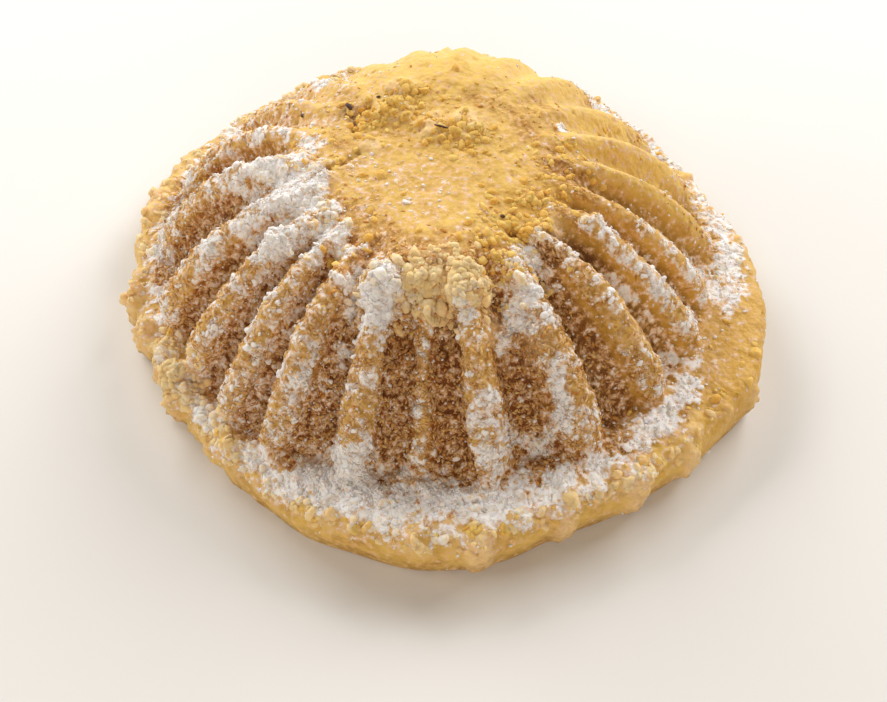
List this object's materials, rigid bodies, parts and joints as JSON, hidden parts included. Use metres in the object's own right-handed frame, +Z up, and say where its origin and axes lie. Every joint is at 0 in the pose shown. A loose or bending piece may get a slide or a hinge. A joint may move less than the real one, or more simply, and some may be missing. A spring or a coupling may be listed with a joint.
{
  "type": "filled semolina cookie",
  "caption": "Round moulded semolina cookie: a ridged dome on a flat uneven brim, dusted with icing sugar, to serve whole on a plate.",
  "frame": {"origin": "centre of the footprint, on the flat bottom that the cookie rests on", "axes": "+Z up through the dome's crown, -Y towards the side that faces the viewer, +X towards the widest stretch of the brim"},
  "size_m": [0.0778, 0.0784, 0.0232],
  "materials": {
    "dough": "matte baked crumb",
    "sugar": "matte loose powder"
  },
  "bodies": {
    "root": {"maamoul": "dough"}
  },
  "joints": []
}
